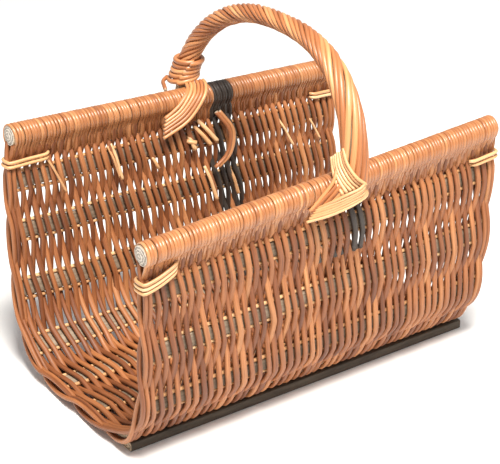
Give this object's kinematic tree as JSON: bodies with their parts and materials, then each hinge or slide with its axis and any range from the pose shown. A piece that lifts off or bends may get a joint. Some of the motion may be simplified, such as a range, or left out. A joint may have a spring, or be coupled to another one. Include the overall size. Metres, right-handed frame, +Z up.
{
  "type": "woven wicker basket",
  "caption": "Open-ended U-shaped willow log basket woven over flat laths between two wrapped rails, with one fixed arched handle and two runners.",
  "frame": {"origin": "centre of the bounding box's underside, on the floor between the two runners", "axes": "+X along the rails towards the right open end, +Y across towards the far rail, +Z up"},
  "size_m": [0.515, 0.4044, 0.4414],
  "materials": {
    "willow": "satin",
    "dark_willow": "satin",
    "pale_willow": "satin",
    "handle_willow": "satin",
    "pole_wood": "matte",
    "lath_wood": "matte",
    "runner_timber": "matte"
  },
  "bodies": {
    "root": {"border_left": "willow", "border_right": "willow", "handle_band_far": "pale_willow", "handle_band_near_lower": "pale_willow", "handle_band_near_upper": "pale_willow", "handle_bow": "pole_wood", "handle_lashing_far": "handle_willow", "handle_wrap": "handle_willow", "rail_far": "pole_wood", "rail_near": "pole_wood", "rail_wrap_far_dark": "dark_willow", "rail_wrap_far_left": "willow", "rail_wrap_far_right": "willow", "rail_wrap_near": "willow", "rib_lath_01": "lath_wood", "rib_lath_02": "lath_wood", "rib_lath_03": "lath_wood", "rib_lath_04": "lath_wood", "rib_lath_05": "lath_wood", "rib_lath_06": "lath_wood", "rib_lath_07": "lath_wood", "rib_lath_08": "lath_wood", "rib_lath_09": "lath_wood", "rib_lath_10": "lath_wood", "rib_rods_01": "pale_willow", "rib_rods_02": "pale_willow", "rib_rods_03": "pale_willow", "rib_rods_04": "pale_willow", "rib_rods_05": "pale_willow", "rib_rods_06": "pale_willow", "rib_rods_07": "pale_willow", "rib_rods_08": "pale_willow", "rib_rods_09": "pale_willow", "rib_rods_10": "pale_willow", "runner_far": "runner_timber", "runner_near": "runner_timber", "tie_far_left": "pale_willow", "tie_far_right": "pale_willow", "tie_near_left": "pale_willow", "tie_near_right": "pale_willow", "weave_panel_01": "willow", "weave_panel_02": "willow", "weave_panel_03": "willow", "weave_panel_04": "willow", "weave_panel_05": "willow", "weave_panel_06": "willow", "weave_panel_07": "willow", "weave_panel_08": "willow", "weave_panel_09": "willow", "weave_panel_10": "willow", "weave_panel_11": "willow"}
  },
  "joints": []
}
